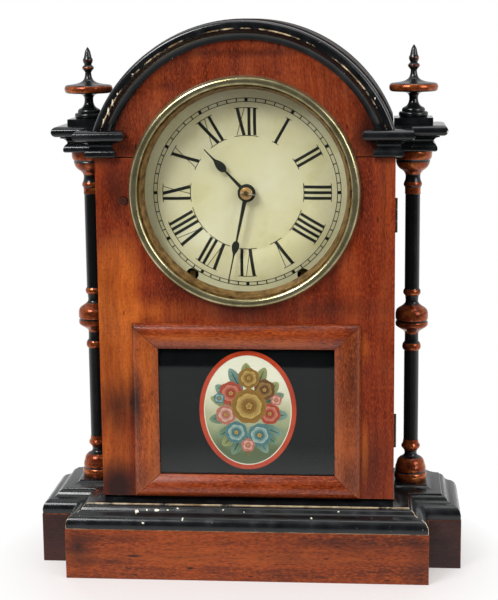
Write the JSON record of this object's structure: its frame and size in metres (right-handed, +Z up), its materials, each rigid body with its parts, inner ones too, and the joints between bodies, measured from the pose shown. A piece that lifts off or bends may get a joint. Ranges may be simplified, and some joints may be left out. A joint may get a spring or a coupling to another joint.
{
  "type": "arch-top column shelf clock",
  "caption": "Round-top shelf clock with a stepped moulded base, free-standing turned columns with finials, a hinged front door, a round brass bezel, a painted tablet and a pendulum movement.",
  "frame": {"origin": "on the surface the clock stands on, below the middle of its bounding box", "axes": "+Z up, the dial faces -Y, +X to the right of someone facing the dial"},
  "size_m": [0.332, 0.112, 0.4267],
  "materials": {
    "veneer": "satin red-brown veneer",
    "ebonised": "worn black polish",
    "gilt_wood": "copper gilt and black on turned wood",
    "dark_wood": "dark stained wood",
    "pine": "plain softwood",
    "brass": "aged brass",
    "gilt_metal": "copper-toned reflector",
    "steel": "steel",
    "blued_steel": "dark blued steel",
    "cast_iron": "black cast iron",
    "dial_enamel": "aged cream enamel",
    "painted_glass": "glass painted black on the back",
    "clear_glass": "clear glass"
  },
  "bodies": {
    "case": {"arch_fascia": "veneer", "arch_moulding": "ebonised", "back_plate": "brass", "backboard": "pine", "base_front_board": "veneer", "base_rear_rail": "pine", "base_side_left": "veneer", "base_side_right": "veneer", "cap_block_left": "ebonised", "cap_block_right": "ebonised", "case_roof": "dark_wood", "case_side_left": "dark_wood", "case_side_right": "dark_wood", "column_left": "gilt_wood", "column_right": "gilt_wood", "dial_board": "pine", "dial_plate": "dial_enamel", "finial_left": "ebonised", "finial_right": "ebonised", "front_block_left": "ebonised", "front_block_right": "ebonised", "front_plate": "brass", "gong_block": "cast_iron", "gong_coil": "blued_steel", "hinge_case_leaf_lower": "brass", "hinge_case_leaf_upper": "brass", "ogee_moulding_front": "ebonised", "ogee_moulding_left": "ebonised", "ogee_moulding_right": "ebonised", "platform_board": "ebonised", "side_entablature_left": "ebonised", "side_entablature_right": "ebonised", "strike_mainspring": "steel", "time_mainspring": "steel"},
    "door": {"door_board": "veneer", "bezel_ring": "brass", "bezel_glass": "clear_glass", "sight_ring": "gilt_metal", "tablet_frame_top": "veneer", "tablet_frame_bottom": "veneer", "tablet_frame_left": "veneer", "tablet_frame_right": "veneer", "tablet_glass": "painted_glass", "hinge_door_leaf_lower": "brass", "hinge_door_leaf_upper": "brass", "door_catch": "dark_wood"},
    "minute_arbor": {"minute_hand": "blued_steel", "hand_washer": "brass", "taper_pin": "steel", "centre_arbor": "brass"},
    "hour_pipe": {"hour_hand": "blued_steel", "hour_wheel": "brass"},
    "minute_wheel": {"minute_wheel": "brass"},
    "pendulum": {"pendulum_rod": "brass", "pendulum_bob": "brass"},
    "verge": {"verge_crutch": "steel"},
    "escape_wheel": {"escape_wheel": "brass"},
    "time_winding": {"time_great_wheel": "brass"},
    "strike_winding": {"strike_great_wheel": "brass"},
    "hammer": {"hammer": "steel"}
  },
  "joints": [
    {"name": "door_hinge", "type": "hinge", "parent": "case", "child": "door", "pos_m": [0.1132, -0.0244, 0.19], "axis": [0, 0, 1], "range_deg": [0, 95]},
    {"name": "minute_turn", "type": "hinge", "parent": "case", "child": "minute_arbor", "pos_m": [0, 0, 0.2955], "axis": [0, 1, 0], "continuous": true},
    {"name": "hour_turn", "type": "hinge", "parent": "case", "child": "hour_pipe", "pos_m": [0, 0, 0.2955], "axis": [0, 1, 0], "continuous": true},
    {"name": "minute_wheel_turn", "type": "hinge", "parent": "case", "child": "minute_wheel", "pos_m": [0.01471, 0, 0.30784], "axis": [0, 1, 0], "continuous": true},
    {"name": "pendulum_swing", "type": "hinge", "parent": "case", "child": "pendulum", "pos_m": [0, 0.034, 0.339], "axis": [0, 1, 0], "range_deg": [-4, 4]},
    {"name": "crutch_swing", "type": "hinge", "parent": "case", "child": "verge", "pos_m": [0, 0.034, 0.326], "axis": [0, 1, 0], "range_deg": [-5.8, 5.8]},
    {"name": "escape_turn", "type": "hinge", "parent": "case", "child": "escape_wheel", "pos_m": [0, 0.014, 0.3105], "axis": [0, 1, 0], "continuous": true},
    {"name": "time_winding_turn", "type": "hinge", "parent": "case", "child": "time_winding", "pos_m": [0.043, 0, 0.2322], "axis": [0, 1, 0], "continuous": true},
    {"name": "strike_winding_turn", "type": "hinge", "parent": "case", "child": "strike_winding", "pos_m": [-0.043, 0, 0.2322], "axis": [0, 1, 0], "continuous": true},
    {"name": "hammer_lift", "type": "hinge", "parent": "case", "child": "hammer", "pos_m": [-0.03, 0.02, 0.197], "axis": [0, 1, 0], "range_deg": [0, 15]}
  ],
  "couplings": [
    {"joint": "hour_turn", "follows": "minute_turn", "ratio": 0.083333},
    {"joint": "minute_wheel_turn", "follows": "minute_turn", "ratio": -0.33333},
    {"joint": "crutch_swing", "follows": "pendulum_swing", "ratio": 1.4333}
  ]
}
